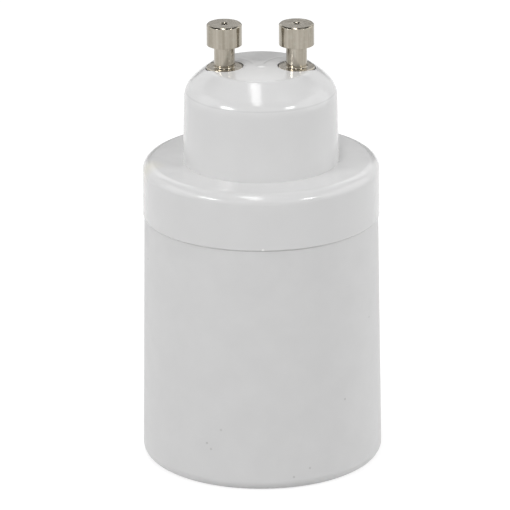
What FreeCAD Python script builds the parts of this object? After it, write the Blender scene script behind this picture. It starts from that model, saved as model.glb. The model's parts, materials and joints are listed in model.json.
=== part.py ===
"""A lamp socket adapter: a two-pin twist-lock plug on top of an Edison screw socket.

It stands on the socket's open mouth. The origin is the centre of the mouth's rim,
+Z points up to the pins, and the pins stand along X. Lengths are in millimetres.
"""
import FreeCAD, Part
import math
import os

import Sketcher

VECTOR = FreeCAD.Vector
UP = VECTOR(0, 0, 1)

# Driving sizes: cell name, value and what it measures
SIZES = (
    ("seam_z", 35.4, "height of the seam between the two mouldings"),
    ("mouth_radius", 16.9, "outside of the sleeve at its mouth"),
    ("sleeve_draft", 0.53, "how much the sleeve narrows from its mouth up to the seam"),
    ("mouth_rounding", 1.4, "outer rounding of the mouth's rim"),
    ("mouth_wall", 2.9, "wall of the collar that shields the screw shell"),
    ("mouth_chamfer", 0.5, "lead-in at the mouth's inner edge"),
    ("mouth_recess", 5.0, "how far the screw shell stands back from the mouth"),
    ("rim_step", 0.18, "how far the cap's skirt stands proud of the sleeve"),
    ("seam_chamfer", 0.12, "broken edges of skirt and sleeve at the seam"),
    ("skirt_draft", 0.05, "how much the skirt narrows from the seam up to the shoulder"),
    ("shoulder_rise", 7.95, "shoulder above the seam"),
    ("shoulder_rounding", 1.4, "rounding of the shoulder's outer edge"),
    ("shoulder_wall", 2.2, "thickness of the shoulder"),
    ("boss_draft", 0.24, "how much the plug boss narrows from the shoulder up to its dome"),
    ("boss_rise", 9.1, "straight flank of the plug boss"),
    ("boss_wall", 2.0, "wall of the plug boss"),
    ("dome_rise", 4.49, "crown of the dome above the boss's straight flank"),
    ("dome_crown_arc", 200.0, "radius of the nearly flat crown's arc"),
    ("dome_crown_reach", 6.95, "how far out the crown's arc reaches"),
    ("dome_rim_arc", 0.8, "radius of the rim round the crown"),
    ("dome_flank_arc", 13.0, "radius of the dome's sloping flank"),
    ("dome_edge_arc", 3.27, "radius of the dome's outer edge"),
    ("roof_wall", 4.59, "crown of the dome down to the chamber's roof"),
    ("skirt_wall", 2.05, "wall of the cap's skirt, round the sleeve's neck"),
    ("joint_clearance", 0.1, "radial gap between skirt and neck"),
    ("neck_rise", 5.4, "the sleeve's neck above the seam"),
    ("neck_wall", 1.5, "wall of the sleeve's neck"),
    ("floor_z", 25.0, "underside of the floor that carries the contacts"),
    ("floor_wall", 2.5, "thickness of that floor"),
    ("pad_gap", 0.6, "from the raised pad out to the edge of the shell's flange"),
    ("pad_drop", 1.0, "height of that pad, which keeps shell and centre contact apart"),
    ("mouth_ledge", 0.3, "ledge between the mouth's bore and the screw shell's pocket"),
    ("shell_thread", 15.6, "threaded length of the screw shell"),
    ("shell_step", 0.4, "step from the threaded length in to the shell's neck"),
    ("shell_sheet", 0.3, "sheet of the screw shell"),
    ("shell_clearance", 0.1, "radial gap between screw shell and sleeve"),
    ("shell_corner", 0.5, "drawn bevel inside, between shell and flange"),
    ("shell_flange_edge", 1.6, "shell rivets in to the edge of the flange's hole"),
    ("rivet_radius", 1.0, "shank of each rivet"),
    ("rivet_clearance", 0.05, "radial gap round a rivet's shank"),
    ("rivet_head_radius", 1.75, "both heads of each rivet"),
    ("rivet_head", 0.6, "height of each rivet head"),
    ("shell_rivet_inset", 2.3, "inside of the shell's neck in to its rivets"),
    ("contact_sheet", 0.4, "sheet of the centre contact"),
    ("contact_width", 5.4, "width of the centre contact's foot"),
    ("tongue_width", 3.6, "width of the centre contact's tongue"),
    ("contact_rivet_inset", 2.0, "pad's edge in to the centre contact's rivet"),
    ("contact_foot_inset", 0.2, "pad's edge in to the end of the centre contact's foot"),
    ("contact_foot", 4.0, "length of that foot, up to its bend"),
    ("contact_slope", 32.0, "slope of the tongue, degrees"),
    ("contact_curl", 14.0, "upward slope of the tongue's tip, degrees"),
    ("contact_tip", 2.6, "length of the tongue's tip"),
    ("contact_bend", 0.6, "inner bend radius of the centre contact"),
    ("tag_sheet", 0.4, "sheet of the solder tags"),
    ("tag_width", 2.8, "width of the solder tags"),
    ("tag_lug_reach", 3.4, "rivet to the outer face of the tag's upright lug"),
    ("tag_lug_rise", 4.4, "height of the tag's lug"),
    ("tag_bend", 0.5, "inner bend radius of the solder tags"),
    ("pin_spacing", 10.0, "between the two pins"),
    ("pin_reach", 6.2, "pin's top above its flange"),
    ("pin_head_radius", 2.475, "head of the pin"),
    ("pin_head", 2.9, "height of the pin's head"),
    ("pin_chamfer", 0.25, "chamfer round the head's top"),
    ("pin_edge_break", 0.08, "broken edges of the head's underside and the flange"),
    ("pin_stem_radius", 1.5, "stem of the pin"),
    ("pin_flange_radius", 2.55, "flange of the pin"),
    ("pin_flange", 1.45, "thickness of the pin's flange"),
    ("pin_flange_sink", 0.09, "pin flange's top below the dome's crown"),
    ("pin_seat_clearance", 0.12, "radial gap round flange and stem in the cap"),
    ("pin_bore", 0.95, "bore of the hollow pin"),
    ("pin_tip_hole", 0.45, "radius of the hole in the head's top"),
    ("pin_tip_wall", 1.3, "metal left over the bore's end"),
    ("pin_tip_sink", 0.12, "countersink of that hole"),
    ("pin_flare_radius", 2.15, "swaged tail of the pin"),
    ("pin_flare", 0.8, "height of the swaged tail"),
    ("washer_radius", 2.9, "washer under the swaged tail"),
    ("washer_sheet", 0.5, "sheet of that washer"),
    ("washer_room", 0.76, "from the washers out to the inner wall of the boss"),
    ("wire_radius", 0.35, "bare conductor of each lead"),
    ("sleeving_radius", 0.75, "insulating sleeving on each lead"),
    ("sleeving_gap", 0.4, "bare stretch between sleeving and what it ends at"),
    ("lead_rise", 3.4, "bends of the leads above the tags and below the pins"),
    ("wire_clearance", 0.03, "radial gap between conductor and what holds it"),
    ("solder_radius", 0.95, "solder bead on a tag"),
    ("solder_film", 0.2, "solder between a lead and the tag's lug"),
    ("solder_length", 2.2, "length of the solder bead on a tag"),
    ("tip_solder_length", 1.7, "solder in the bore's end of each pin"),
)

# Sizes worked out from the driving ones, as formulas of the same sheet
DERIVED = (
    ("pin_offset", "=pin_spacing / 2"),
    ("seam_radius", "=mouth_radius - sleeve_draft"),
    ("rim_radius", "=seam_radius + rim_step"),
    ("shoulder_radius", "=rim_radius - skirt_draft"),
    ("mouth_bore", "=mouth_radius - mouth_wall"),
    ("skirt_bore", "=rim_radius - skirt_wall"),
    ("shoulder_z", "=seam_z + shoulder_rise"),
    ("boss_top_z", "=shoulder_z + boss_rise"),
    ("crown_z", "=boss_top_z + dome_rise"),
    ("roof_z", "=crown_z - roof_wall"),
    ("shoulder_under_z", "=shoulder_z - shoulder_wall"),
    ("boss_bore", "=pin_offset + washer_radius + washer_room"),
    ("boss_top_radius", "=boss_bore + boss_wall"),
    ("boss_foot_radius", "=boss_top_radius + boss_draft"),
    ("neck_radius", "=skirt_bore - joint_clearance"),
    ("neck_bore", "=neck_radius - neck_wall"),
    ("neck_top_z", "=seam_z + neck_rise"),
    ("floor_top_z", "=floor_z + floor_wall"),
    ("pad_z", "=floor_z - pad_drop"),
    ("shell_pocket", "=mouth_bore - mouth_ledge"),
    ("shell_radius", "=shell_pocket - shell_clearance"),
    ("shell_bore", "=shell_radius - shell_sheet"),
    ("shell_mouth_z", "=mouth_recess"),
    ("shell_under_z", "=floor_z - shell_sheet"),
    ("shell_neck_bore", "=shell_bore - shell_step"),
    ("shell_neck_radius", "=shell_neck_bore + shell_sheet"),
    ("shell_rivet_reach", "=shell_neck_bore - shell_rivet_inset"),
    ("shell_flange_hole", "=shell_rivet_reach - shell_flange_edge"),
    ("pad_radius", "=shell_flange_hole - pad_gap"),
    ("contact_rivet_reach", "=pad_radius - contact_rivet_inset"),
    ("contact_foot_end", "=pad_radius - contact_foot_inset"),
    ("contact_bend_reach", "=contact_foot_end - contact_foot"),
    ("shell_thread_z", "=shell_mouth_z + shell_thread"),
    ("shell_neck_z", "=shell_thread_z + shell_step"),
    ("shell_thread_out_z", "=shell_thread_z + shell_sheet * tan(22.5)"),
    ("shell_neck_out_z", "=shell_neck_z + shell_sheet * tan(22.5)"),
    ("shell_outer_corner", "=shell_corner + shell_sheet * (2 - sqrt(2))"),
    ("rivet_hole", "=rivet_radius + rivet_clearance"),
    ("pin_flange_z", "=crown_z - pin_flange_sink"),
    ("pin_z", "=pin_flange_z + pin_reach"),
    ("pin_seat_z", "=pin_flange_z - pin_flange"),
    ("pin_head_z", "=pin_z - pin_head"),
    ("pin_edge_z", "=pin_z - pin_chamfer"),
    ("pin_face_radius", "=pin_head_radius - pin_chamfer"),
    ("pin_head_low_radius", "=pin_head_radius - pin_edge_break"),
    ("pin_head_low_z", "=pin_head_z + pin_edge_break"),
    ("pin_flange_top_radius", "=pin_flange_radius - pin_edge_break"),
    ("pin_flange_low_z", "=pin_flange_z - pin_edge_break"),
    ("pin_seat_radius", "=pin_flange_radius + pin_seat_clearance"),
    ("pin_hole_radius", "=pin_stem_radius + pin_seat_clearance"),
    ("washer_hole", "=pin_hole_radius"),
    ("washer_under_z", "=roof_z - washer_sheet"),
    ("pin_tail_z", "=washer_under_z - pin_flare"),
    ("pin_bore_top_z", "=pin_z - pin_tip_wall"),
    ("pin_cone_z", "=pin_bore_top_z + pin_bore - pin_tip_hole"),
    ("pin_sink_z", "=pin_z - pin_tip_sink"),
    ("pin_sink_radius", "=pin_tip_hole + pin_tip_sink"),
    ("pin_flare_bore", "=pin_flare_radius - pin_stem_radius + pin_bore"),
    ("wire_hole", "=wire_radius + wire_clearance"),
    ("tip_solder_radius", "=pin_bore - wire_clearance"),
    ("tip_solder_z", "=pin_bore_top_z - tip_solder_length"),
    ("tip_wire_z", "=pin_bore_top_z - wire_radius"),
    ("tip_hole_z", "=tip_wire_z + wire_clearance"),
    ("foot_under_z", "=pad_z - contact_sheet"),
    ("foot_bend_y", "=contact_bend_reach + contact_sheet * tan(contact_slope / 2)"),
    ("contact_z", "=foot_under_z - foot_bend_y * tan(contact_slope)"),
    ("tongue_turn", "=1 + cos(contact_slope + contact_curl)"),
    ("tongue_in_y", "=contact_sheet * (sin(contact_slope) - sin(contact_curl)) / tongue_turn"),
    ("tongue_in_z", "=contact_z + contact_sheet * (cos(contact_slope) + cos(contact_curl)) / tongue_turn"),
    ("tip_end_y", "=contact_tip * cos(contact_curl)"),
    ("tip_end_z", "=contact_z + contact_tip * sin(contact_curl)"),
    ("tip_top_y", "=tip_end_y - contact_sheet * sin(contact_curl)"),
    ("tip_top_z", "=tip_end_z + contact_sheet * cos(contact_curl)"),
    ("contact_outer_bend", "=contact_bend + contact_sheet"),
    ("contact_rivet_low_z", "=foot_under_z - rivet_head"),
    ("shell_rivet_low_z", "=shell_under_z - rivet_head"),
    ("tagged_rivet_high_z", "=tag_top_z + rivet_head"),
    ("bare_rivet_high_z", "=floor_top_z + rivet_head"),
    ("tongue_half", "=tongue_width / 2"),
    ("contact_side", "=contact_width / 2 + contact_sheet"),
    ("tongue_cut_end", "=contact_tip + contact_sheet"),
    ("tongue_cut_start", "=contact_bend_reach - contact_bend"),
    ("tag_top_z", "=floor_top_z + tag_sheet"),
    ("tag_half", "=tag_width / 2"),
    ("tag_lug_in", "=tag_lug_reach - tag_sheet"),
    ("tag_lug_z", "=floor_top_z + tag_lug_rise"),
    ("tag_outer_bend", "=tag_bend + tag_sheet"),
    ("wire_stand", "=wire_radius + solder_film"),
    ("tag_wire_x", "=tag_lug_reach + wire_stand"),
    ("solder_z", "=tag_lug_z - solder_length"),
    ("solder_neck", "=wire_hole + wire_radius / 2"),
    ("solder_side", "=solder_radius * 2"),
    ("solder_low_z", "=solder_z + solder_length / 4"),
    ("solder_high_z", "=tag_lug_z - solder_length / 4"),
)

# Rivets at (x, y): one for the centre contact, two for the screw shell
RIVET_PLACES = ((0, "contact_rivet_reach"), ("shell_rivet_reach", 0), ("-shell_rivet_reach", 0))

# How far shapes may be from what is looked for, in mm or as a share of a volume
NEAR = 1e-3
VOLUME_SHARE = 0.01

doc = FreeCAD.newDocument("adapter")
sheet = doc.addObject("Spreadsheet::Sheet", "Sizes")


def fill_sheet():
    """Write every driving size and every derived one into the sheet."""
    row = 0
    for alias, number, note in SIZES:
        row += 1
        sheet.set("A%d" % row, note)
        sheet.set("B%d" % row, str(number))
        sheet.setAlias("B%d" % row, alias)
    for alias, formula in DERIVED:
        row += 1
        sheet.set("B%d" % row, formula)
        sheet.setAlias("B%d" % row, alias)
    doc.recompute()


def size(alias):
    """The present value of a cell; a leading minus gives its negative, 0 is zero."""
    if alias == 0:
        return 0.0
    if alias.startswith("-"):
        return -float(sheet.get(alias[1:]))
    return float(sheet.get(alias))


def new_body(label):
    body = doc.addObject("PartDesign::Body", label)
    body.Label = label
    return body


def new_sketch(body, name, role="XZ_Plane", height=None):
    """A sketch on one of the body's own origin planes, raised by a cell if named."""
    sketch = body.newObject("Sketcher::SketchObject", body.Name + "_" + name)
    plane = [face for face in body.Origin.OriginFeatures if face.Role == role][0]
    sketch.AttachmentSupport = (plane, [""])
    sketch.MapMode = "FlatFace"
    if height is not None:
        sketch.setExpression("AttachmentOffset.Base.z", "Sizes." + height)
    return sketch


def bind(sketch, kind, places, alias):
    """Add a dimension to the sketch and tie it to a cell."""
    index = sketch.addConstraint(Sketcher.Constraint(kind, *places, abs(size(alias))))
    sketch.setExpression("Constraints[%d]" % index, "Sizes." + alias.lstrip("-"))


def hold_point(sketch, shape, end, across, up):
    """Hold one end of a sketch line at two cells' distances from the origin."""
    for kind, axis, alias in (("DistanceX", -2, across), ("DistanceY", -1, up)):
        if alias == 0:
            sketch.addConstraint(Sketcher.Constraint("PointOnObject", shape, end, axis))
        elif alias.startswith("-"):
            bind(sketch, kind, (shape, end, -1, 1), alias)
        else:
            bind(sketch, kind, (-1, 1, shape, end), alias)


def draw_outline(sketch, corners, closed=True):
    """Straight lines through corners, each a pair of cell names."""
    spots = [VECTOR(size(across), size(up), 0) for across, up in corners]
    first = sketch.GeometryCount
    count = len(corners) if closed else len(corners) - 1
    for i in range(count):
        sketch.addGeometry(Part.LineSegment(spots[i], spots[(i + 1) % len(spots)]))
        hold_point(sketch, first + i, 1, *corners[i])
    for i in range(count - 1):
        sketch.addConstraint(Sketcher.Constraint("Coincident", first + i, 2, first + i + 1, 1))
    if closed:
        sketch.addConstraint(Sketcher.Constraint("Coincident", first + count - 1, 2, first, 1))
    else:
        hold_point(sketch, first + count - 1, 2, *corners[-1])
    return first, first + count - 1


def draw_circle(sketch, radius, across=0, up=0):
    """A circle with its radius and centre tied to cells."""
    centre = VECTOR(size(across), size(up), 0)
    circle = sketch.addGeometry(Part.Circle(centre, UP, size(radius)))
    bind(sketch, "Radius", (circle,), radius)
    hold_point(sketch, circle, 3, across, up)


def turn(body, sketch):
    """Revolve a half section, drawn right of the upright axis, into a round solid."""
    feature = body.newObject("PartDesign::Revolution", body.Name + "_turned")
    feature.Profile = sketch
    feature.ReferenceAxis = (sketch, ["V_Axis"])
    feature.Angle = 360
    doc.recompute()
    return feature


def turned(label, corners, offset=None):
    """A body turned from one outline, moved sideways by (x, y) expressions if given."""
    body = new_body(label)
    sketch = new_sketch(body, "section")
    draw_outline(sketch, corners)
    turn(body, sketch)
    move(body, offset)
    return body


def move(body, offset):
    """Tie the sideways place of a body to the sheet."""
    if offset is None:
        return
    for axis, expression in zip("xy", offset):
        body.setExpression("Placement.Base." + axis, expression)
    doc.recompute()


def pad(body, sketch, name, width):
    """Pad a sketch evenly to both sides of its plane."""
    feature = body.newObject("PartDesign::Pad", body.Name + "_" + name)
    feature.Profile = sketch
    feature.Midplane = True
    feature.setExpression("Length", "Sizes." + width)
    doc.recompute()
    return feature


def cut(body, sketch, name, upward=False):
    """Cut a sketch right through the body, and make sure that it took something away."""
    before = body.Shape.Volume
    feature = body.newObject("PartDesign::Pocket", body.Name + "_" + name)
    feature.Profile = sketch
    feature.Type = "ThroughAll"
    feature.Reversed = upward
    doc.recompute()
    if body.Shape.Volume > before - NEAR:
        raise RuntimeError("%s cuts nothing" % feature.Name)
    return feature


def round_edges(body, name, alias, picked, kind="Fillet", measure="Radius"):
    """Round or chamfer the edges of the body's last feature that picked() accepts."""
    base = body.Tip
    names = [
        "Edge%d" % (i + 1)
        for i, edge in enumerate(base.Shape.Edges)
        if not edge.Degenerated and picked(edge)
    ]
    if not names:
        raise RuntimeError("%s finds no edge on %s" % (name, body.Name))
    feature = body.newObject("PartDesign::" + kind, body.Name + "_" + name)
    feature.Base = (base, names)
    feature.setExpression(measure, "Sizes." + alias)
    doc.recompute()
    return feature


def ring_edge(radius, height):
    """Accepts round edges of one radius at one height, both given as cells."""
    def picked(edge):
        curve = edge.Curve
        return (
            isinstance(curve, Part.Circle)
            and abs(curve.Radius - size(radius)) < NEAR
            and abs(curve.Center.z - size(height)) < NEAR
        )

    return picked


def line_edge(direction, first, first_alias, second, second_alias):
    """Accepts straight edges along one axis that lie at two cells' places on the others."""
    def picked(edge):
        if not isinstance(edge.Curve, Part.Line):
            return False
        along = edge.Curve.Direction
        middle = edge.CenterOfMass
        return (
            abs(abs(getattr(along, direction)) - 1) < NEAR
            and abs(getattr(middle, first) - size(first_alias)) < NEAR
            and abs(getattr(middle, second) - size(second_alias)) < NEAR
        )

    return picked


def dome_arcs(sketch):
    """Crown, rim, flank and edge arcs of the dome, each tangent to the next.

    The flank's centre follows from the others: rim and edge both touch it from inside.
    """
    crown_arc = size("dome_crown_arc")
    rim_arc = size("dome_rim_arc")
    flank_arc = size("dome_flank_arc")
    edge_arc = size("dome_edge_arc")
    crown_end = math.acos(size("dome_crown_reach") / crown_arc)
    crown_centre = VECTOR(0, size("crown_z") - crown_arc, 0)
    outward = VECTOR(math.cos(crown_end), math.sin(crown_end), 0)
    rim_centre = crown_centre + outward * (crown_arc - rim_arc)
    edge_centre = VECTOR(size("boss_top_radius") - edge_arc, size("boss_top_z"), 0)
    apart = (edge_centre - rim_centre).Length
    downward = (edge_centre - rim_centre).normalize()
    inward = VECTOR(downward.y, -downward.x, 0)
    past_rim = flank_arc - rim_arc
    past_edge = flank_arc - edge_arc
    drop = (past_rim**2 - past_edge**2 + apart**2) / (2 * apart)
    flank_centre = rim_centre + downward * drop + inward * math.sqrt(past_rim**2 - drop**2)
    to_rim = rim_centre - flank_centre
    to_edge = edge_centre - flank_centre
    rim_end = math.atan2(to_rim.y, to_rim.x)
    flank_end = math.atan2(to_edge.y, to_edge.x)
    arcs = (
        (crown_centre, crown_arc, crown_end, math.pi / 2),
        (rim_centre, rim_arc, rim_end, crown_end),
        (flank_centre, flank_arc, flank_end, rim_end),
        (edge_centre, edge_arc, 0, flank_end),
    )
    return [
        sketch.addGeometry(Part.ArcOfCircle(Part.Circle(centre, UP, radius), low, high))
        for centre, radius, low, high in arcs
    ]


def build_plug_cap():
    """The upper moulding: skirt, shoulder and domed plug boss, hollow from below."""
    body = new_body("plug_cap")
    sketch = new_sketch(body, "section")
    first, last = draw_outline(
        sketch,
        (
            (0, "crown_z"),
            (0, "roof_z"),
            ("boss_bore", "roof_z"),
            ("boss_bore", "shoulder_under_z"),
            ("skirt_bore", "shoulder_under_z"),
            ("skirt_bore", "seam_z"),
            ("rim_radius", "seam_z"),
            ("shoulder_radius", "shoulder_z"),
            ("boss_foot_radius", "shoulder_z"),
            ("boss_top_radius", "boss_top_z"),
        ),
        closed=False,
    )
    crown, rim, flank, edge = dome_arcs(sketch)
    # in a sketch, point 1 is an arc's start and 2 its end, anticlockwise, and 3 its centre
    sketch.addConstraint(Sketcher.Constraint("Coincident", crown, 2, first, 1))
    sketch.addConstraint(Sketcher.Constraint("PointOnObject", crown, 3, -2))
    for upper, lower in ((crown, rim), (rim, flank), (flank, edge)):
        sketch.addConstraint(Sketcher.Constraint("Tangent", upper, 1, lower, 2))
    sketch.addConstraint(Sketcher.Constraint("Coincident", edge, 1, last, 2))
    sketch.addConstraint(Sketcher.Constraint("Horizontal", edge, 1, edge, 3))
    bind(sketch, "Radius", (crown,), "dome_crown_arc")
    bind(sketch, "Radius", (rim,), "dome_rim_arc")
    bind(sketch, "Radius", (flank,), "dome_flank_arc")
    bind(sketch, "Radius", (edge,), "dome_edge_arc")
    bind(sketch, "DistanceX", (-1, 1, crown, 1), "dome_crown_reach")
    turn(body, sketch)
    round_edges(body, "shoulder_edge", "shoulder_rounding", ring_edge("shoulder_radius", "shoulder_z"))
    skirt_edge = ring_edge("rim_radius", "seam_z")
    round_edges(body, "skirt_edge", "seam_chamfer", skirt_edge, "Chamfer", "Size")
    seats = new_sketch(body, "seats", "XY_Plane", "pin_seat_z")
    holes = new_sketch(body, "holes", "XY_Plane", "shoulder_under_z")
    for side in ("pin_offset", "-pin_offset"):
        draw_circle(seats, "pin_seat_radius", side)
        draw_circle(holes, "pin_hole_radius", side)
    cut(body, seats, "pin_seats", upward=True)
    cut(body, holes, "pin_holes", upward=True)
    return body


def build_socket_sleeve():
    """The lower moulding: a tapering tube with a contact floor and a neck for the cap."""
    body = new_body("socket_sleeve")
    sketch = new_sketch(body, "section")
    draw_outline(
        sketch,
        (
            ("mouth_radius", 0),
            ("seam_radius", "seam_z"),
            ("neck_radius", "seam_z"),
            ("neck_radius", "neck_top_z"),
            ("neck_bore", "neck_top_z"),
            ("neck_bore", "floor_top_z"),
            (0, "floor_top_z"),
            (0, "pad_z"),
            ("pad_radius", "pad_z"),
            ("pad_radius", "floor_z"),
            ("shell_pocket", "floor_z"),
            ("shell_pocket", "shell_mouth_z"),
            ("mouth_bore", "shell_mouth_z"),
            ("mouth_bore", 0),
        ),
    )
    turn(body, sketch)
    mouth_edge = ring_edge("mouth_radius", 0)
    round_edges(body, "mouth_edge", "mouth_rounding", mouth_edge)
    lead_in = ring_edge("mouth_bore", 0)
    round_edges(body, "lead_in", "mouth_chamfer", lead_in, "Chamfer", "Size")
    seam_edge = ring_edge("seam_radius", "seam_z")
    round_edges(body, "seam_edge", "seam_chamfer", seam_edge, "Chamfer", "Size")
    holes = new_sketch(body, "rivet_holes", "XY_Plane", "shell_mouth_z")
    for across, up in RIVET_PLACES:
        draw_circle(holes, "rivet_hole", across, up)
    cut(body, holes, "rivet_holes", upward=True)
    return body


def build_screw_shell():
    """The metal shell, drawn from sheet, with a flange riveted under the floor."""
    body = new_body("screw_shell")
    sketch = new_sketch(body, "section")
    draw_outline(
        sketch,
        (
            ("shell_bore", "shell_mouth_z"),
            ("shell_radius", "shell_mouth_z"),
            ("shell_radius", "shell_thread_out_z"),
            ("shell_neck_radius", "shell_neck_out_z"),
            ("shell_neck_radius", "floor_z"),
            ("shell_flange_hole", "floor_z"),
            ("shell_flange_hole", "shell_under_z"),
            ("shell_neck_bore", "shell_under_z"),
            ("shell_neck_bore", "shell_neck_z"),
            ("shell_bore", "shell_thread_z"),
        ),
    )
    turn(body, sketch)
    outer = ring_edge("shell_neck_radius", "floor_z")
    inner = ring_edge("shell_neck_bore", "shell_under_z")
    round_edges(body, "corner_out", "shell_outer_corner", outer, "Chamfer", "Size")
    round_edges(body, "corner_in", "shell_corner", inner, "Chamfer", "Size")
    holes = new_sketch(body, "rivet_holes", "XY_Plane", "shell_mouth_z")
    for across, up in RIVET_PLACES[1:]:
        draw_circle(holes, "rivet_hole", across, up)
    cut(body, holes, "rivet_holes", upward=True)
    return body


def build_centre_contact():
    """The sprung leaf that meets the lamp's centre, folded from one strip."""
    body = new_body("centre_contact")
    sketch = new_sketch(body, "fold", "YZ_Plane")
    draw_outline(
        sketch,
        (
            ("contact_foot_end", "pad_z"),
            ("contact_foot_end", "foot_under_z"),
            ("foot_bend_y", "foot_under_z"),
            (0, "contact_z"),
            ("-tip_end_y", "tip_end_z"),
            ("-tip_top_y", "tip_top_z"),
            ("-tongue_in_y", "tongue_in_z"),
            ("contact_bend_reach", "pad_z"),
        ),
    )
    pad(body, sketch, "strip", "contact_width")
    inner = (("foot_bend_y", "foot_under_z"), ("-tongue_in_y", "tongue_in_z"))
    outer = (("contact_bend_reach", "pad_z"), (0, "contact_z"))
    for name, alias, bends in (("inner", "contact_bend", inner), ("outer", "contact_outer_bend", outer)):
        tests = [line_edge("x", "y", across, "z", up) for across, up in bends]
        round_edges(body, name + "_bends", alias, lambda edge: any(test(edge) for test in tests))
    sides = new_sketch(body, "sides", "XY_Plane")
    for sign in ("", "-"):
        draw_outline(
            sides,
            (
                (sign + "tongue_half", "-tongue_cut_end"),
                (sign + "contact_side", "-tongue_cut_end"),
                (sign + "contact_side", "tongue_cut_start"),
                (sign + "tongue_half", "tongue_cut_start"),
            ),
        )
    cut(body, sides, "tongue_sides", upward=True)
    hole = new_sketch(body, "rivet_hole", "XY_Plane")
    draw_circle(hole, "rivet_hole", *RIVET_PLACES[0])
    cut(body, hole, "rivet_hole", upward=True)
    return body


def build_rivet(label, low, under, over, high, offset):
    """A rivet: its shank runs between two heads, all four heights being cells."""
    return turned(
        label,
        (
            (0, low),
            ("rivet_radius", low),
            ("rivet_head_radius", under),
            ("rivet_radius", under),
            ("rivet_radius", over),
            ("rivet_head_radius", over),
            ("rivet_radius", high),
            (0, high),
        ),
        offset,
    )


def build_solder_tag(label, offset):
    """A folded tag: a flat foot under a rivet head and an upright lug for the lead."""
    body = new_body(label)
    sketch = new_sketch(body, "fold")
    draw_outline(
        sketch,
        (
            ("-tag_half", "floor_top_z"),
            ("tag_lug_reach", "floor_top_z"),
            ("tag_lug_reach", "tag_lug_z"),
            ("tag_lug_in", "tag_lug_z"),
            ("tag_lug_in", "tag_top_z"),
            ("-tag_half", "tag_top_z"),
        ),
    )
    pad(body, sketch, "strip", "tag_width")
    bend_out = line_edge("y", "x", "tag_lug_reach", "z", "floor_top_z")
    bend_in = line_edge("y", "x", "tag_lug_in", "z", "tag_top_z")
    round_edges(body, "bend_out", "tag_outer_bend", bend_out)
    round_edges(body, "bend_in", "tag_bend", bend_in)
    hole = new_sketch(body, "rivet_hole", "XY_Plane")
    draw_circle(hole, "rivet_hole")
    cut(body, hole, "rivet_hole", upward=True)
    move(body, offset)
    return body


def build_tag_solder(label, offset):
    """A bead of solder round the lead's end, flat where it wets the tag's lug."""
    body = new_body(label)
    sketch = new_sketch(body, "section")
    draw_outline(
        sketch,
        (
            ("wire_hole", "solder_z"),
            ("solder_neck", "solder_z"),
            ("solder_radius", "solder_low_z"),
            ("solder_radius", "solder_high_z"),
            ("solder_neck", "tag_lug_z"),
            ("wire_hole", "tag_lug_z"),
        ),
    )
    turn(body, sketch)
    face = new_sketch(body, "lug_face", "XY_Plane")
    draw_outline(
        face,
        (
            ("-wire_stand", "-solder_side"),
            ("-wire_stand", "solder_side"),
            ("-solder_side", "solder_side"),
            ("-solder_side", "-solder_side"),
        ),
    )
    cut(body, face, "lug_face", upward=True)
    move(body, offset)
    return body


def build_pin(side, offset):
    """A turned, hollow plug pin: head, stem, flange, and a tail swaged over its washer."""
    return turned(
        side + "_pin",
        (
            ("pin_sink_radius", "pin_z"),
            ("pin_face_radius", "pin_z"),
            ("pin_head_radius", "pin_edge_z"),
            ("pin_head_radius", "pin_head_low_z"),
            ("pin_head_low_radius", "pin_head_z"),
            ("pin_stem_radius", "pin_head_z"),
            ("pin_stem_radius", "pin_flange_z"),
            ("pin_flange_top_radius", "pin_flange_z"),
            ("pin_flange_radius", "pin_flange_low_z"),
            ("pin_flange_radius", "pin_seat_z"),
            ("pin_stem_radius", "pin_seat_z"),
            ("pin_stem_radius", "washer_under_z"),
            ("pin_flare_radius", "pin_tail_z"),
            ("pin_flare_bore", "pin_tail_z"),
            ("pin_bore", "washer_under_z"),
            ("pin_bore", "pin_bore_top_z"),
            ("pin_tip_hole", "pin_cone_z"),
            ("pin_tip_hole", "pin_sink_z"),
        ),
        offset,
    )


def build_pin_washer(side, offset):
    return turned(
        side + "_pin_washer",
        (
            ("washer_hole", "washer_under_z"),
            ("washer_radius", "washer_under_z"),
            ("washer_radius", "roof_z"),
            ("washer_hole", "roof_z"),
        ),
        offset,
    )


def build_tip_solder(side, offset):
    """Solder in the end of the pin's bore, round the end of the conductor."""
    return turned(
        side + "_tip_solder",
        (
            (0, "tip_hole_z"),
            ("wire_hole", "tip_hole_z"),
            ("wire_hole", "tip_solder_z"),
            ("tip_solder_radius", "tip_solder_z"),
            ("tip_solder_radius", "pin_bore_top_z"),
            (0, "pin_bore_top_z"),
        ),
        offset,
    )


def bent_path(points, trim):
    """Straight runs joined by tangent arcs, each starting trim before its corner."""
    edges = []
    start = points[0]
    for before, corner, after in zip(points, points[1:], points[2:]):
        back = (before - corner).normalize()
        ahead = (after - corner).normalize()
        half_turn = (math.pi - back.getAngle(ahead)) / 2
        radius = trim / math.tan(half_turn)
        bisector = (back + ahead).normalize()
        enter = corner + back * trim
        middle = corner + bisector * (radius / math.cos(half_turn) - radius)
        leave = corner + ahead * trim
        edges.append(Part.LineSegment(start, enter).toShape())
        edges.append(Part.Arc(enter, middle, leave).toShape())
        start = leave
    edges.append(Part.LineSegment(start, points[-1]).toShape())
    return Part.Wire(edges)


def swept(label, path, outer, inner=None):
    """A round rod or tube along a path, checked against its section times its length."""
    start = path.Vertexes[0].Point
    section = Part.Face(Part.Wire(Part.makeCircle(outer, start, UP)))
    area = math.pi * outer**2
    if inner is not None:
        section = section.cut(Part.Face(Part.Wire(Part.makeCircle(inner, start, UP)))).Faces[0]
        area -= math.pi * inner**2
    solid = path.makePipe(section)
    expected = area * path.Length
    if abs(solid.Volume - expected) > VOLUME_SHARE * expected:
        raise RuntimeError("%s has the wrong volume" % label)
    feature = doc.addObject("Part::Feature", label)
    feature.Label = label
    feature.Shape = solid
    print("%s is %.1f mm long" % (label, path.Length))
    return feature


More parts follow.
